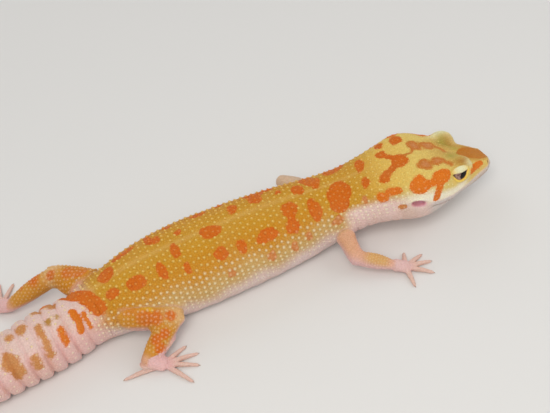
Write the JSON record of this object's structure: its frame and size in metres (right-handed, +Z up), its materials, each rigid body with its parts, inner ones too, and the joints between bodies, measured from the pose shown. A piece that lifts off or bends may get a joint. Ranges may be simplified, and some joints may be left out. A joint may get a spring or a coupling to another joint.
{
  "type": "leopard gecko",
  "caption": "Life-size still model of an orange and yellow spotted leopard gecko lying on its belly, head slightly raised, fat ringed tail curving away, legs spread with feet flat on the floor.",
  "frame": {"origin": "centre of the whole animal's footprint, at floor level", "axes": "+X along the trunk towards the head, +Y to the animal's left, +Z up"},
  "size_m": [0.21, 0.0714, 0.0244],
  "materials": {
    "head_skin": "matte scaly skin, yellow with orange blotches",
    "back_skin": "matte granular skin with pale tubercles, yellow with orange blotches",
    "tail_skin": "matte ringed skin, pinkish white with orange-brown bands",
    "leg_skin": "matte granular skin, yellow-orange over pinkish",
    "foot_skin": "matte fine-scaled skin, pale pink",
    "eye": "wet gloss"
  },
  "bodies": {
    "root": {"head": "head_skin", "eye_right": "eye", "eye_left": "eye", "neck": "back_skin", "trunk_front": "back_skin", "trunk_rear": "back_skin", "tail_base": "tail_skin", "tail_middle": "tail_skin", "tail_tip": "tail_skin", "right_upper_arm": "leg_skin", "right_forearm": "leg_skin", "right_hand": "foot_skin", "left_upper_arm": "leg_skin", "left_forearm": "leg_skin", "left_hand": "foot_skin", "right_thigh": "leg_skin", "right_shin": "leg_skin", "right_foot": "foot_skin", "left_thigh": "leg_skin", "left_shin": "leg_skin", "left_foot": "foot_skin"}
  },
  "joints": []
}
